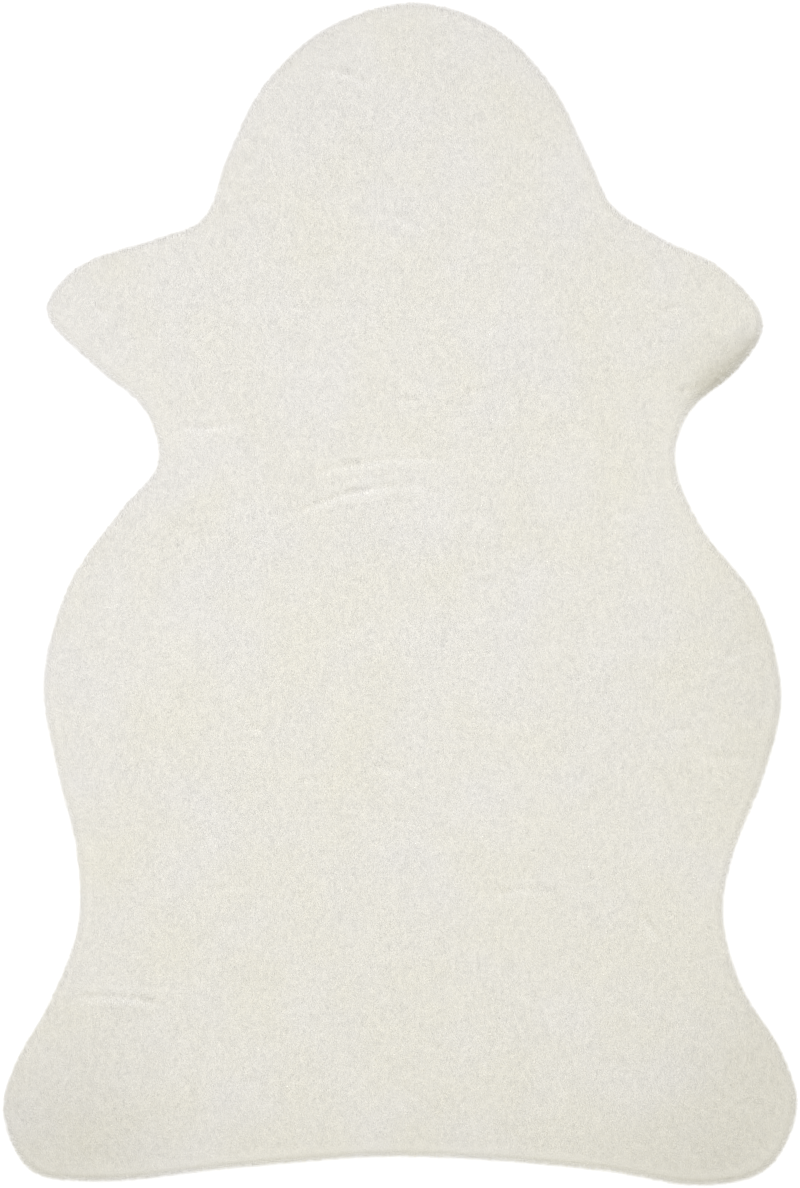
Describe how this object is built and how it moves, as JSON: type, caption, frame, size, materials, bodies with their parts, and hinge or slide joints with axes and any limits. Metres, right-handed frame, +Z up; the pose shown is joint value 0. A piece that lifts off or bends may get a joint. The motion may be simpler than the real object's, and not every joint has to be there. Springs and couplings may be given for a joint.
{
  "type": "shag rug",
  "caption": "Dense ivory pile rug cut to a pelt outline, with head, forelegs, waist, hips and hind legs, lying flat on its base cloth.",
  "frame": {"origin": "middle of the rug's box in X and Y, on the floor under the base cloth", "axes": "+Y runs along the rug to the head, +X across it, +Z up through the pile"},
  "size_m": [0.6142, 0.914, 0.022],
  "materials": {
    "ivory_pile": "dense soft synthetic fur pile, matt, warm ivory"
  },
  "bodies": {
    "root": {"pile_rug": "ivory_pile"}
  },
  "joints": []
}
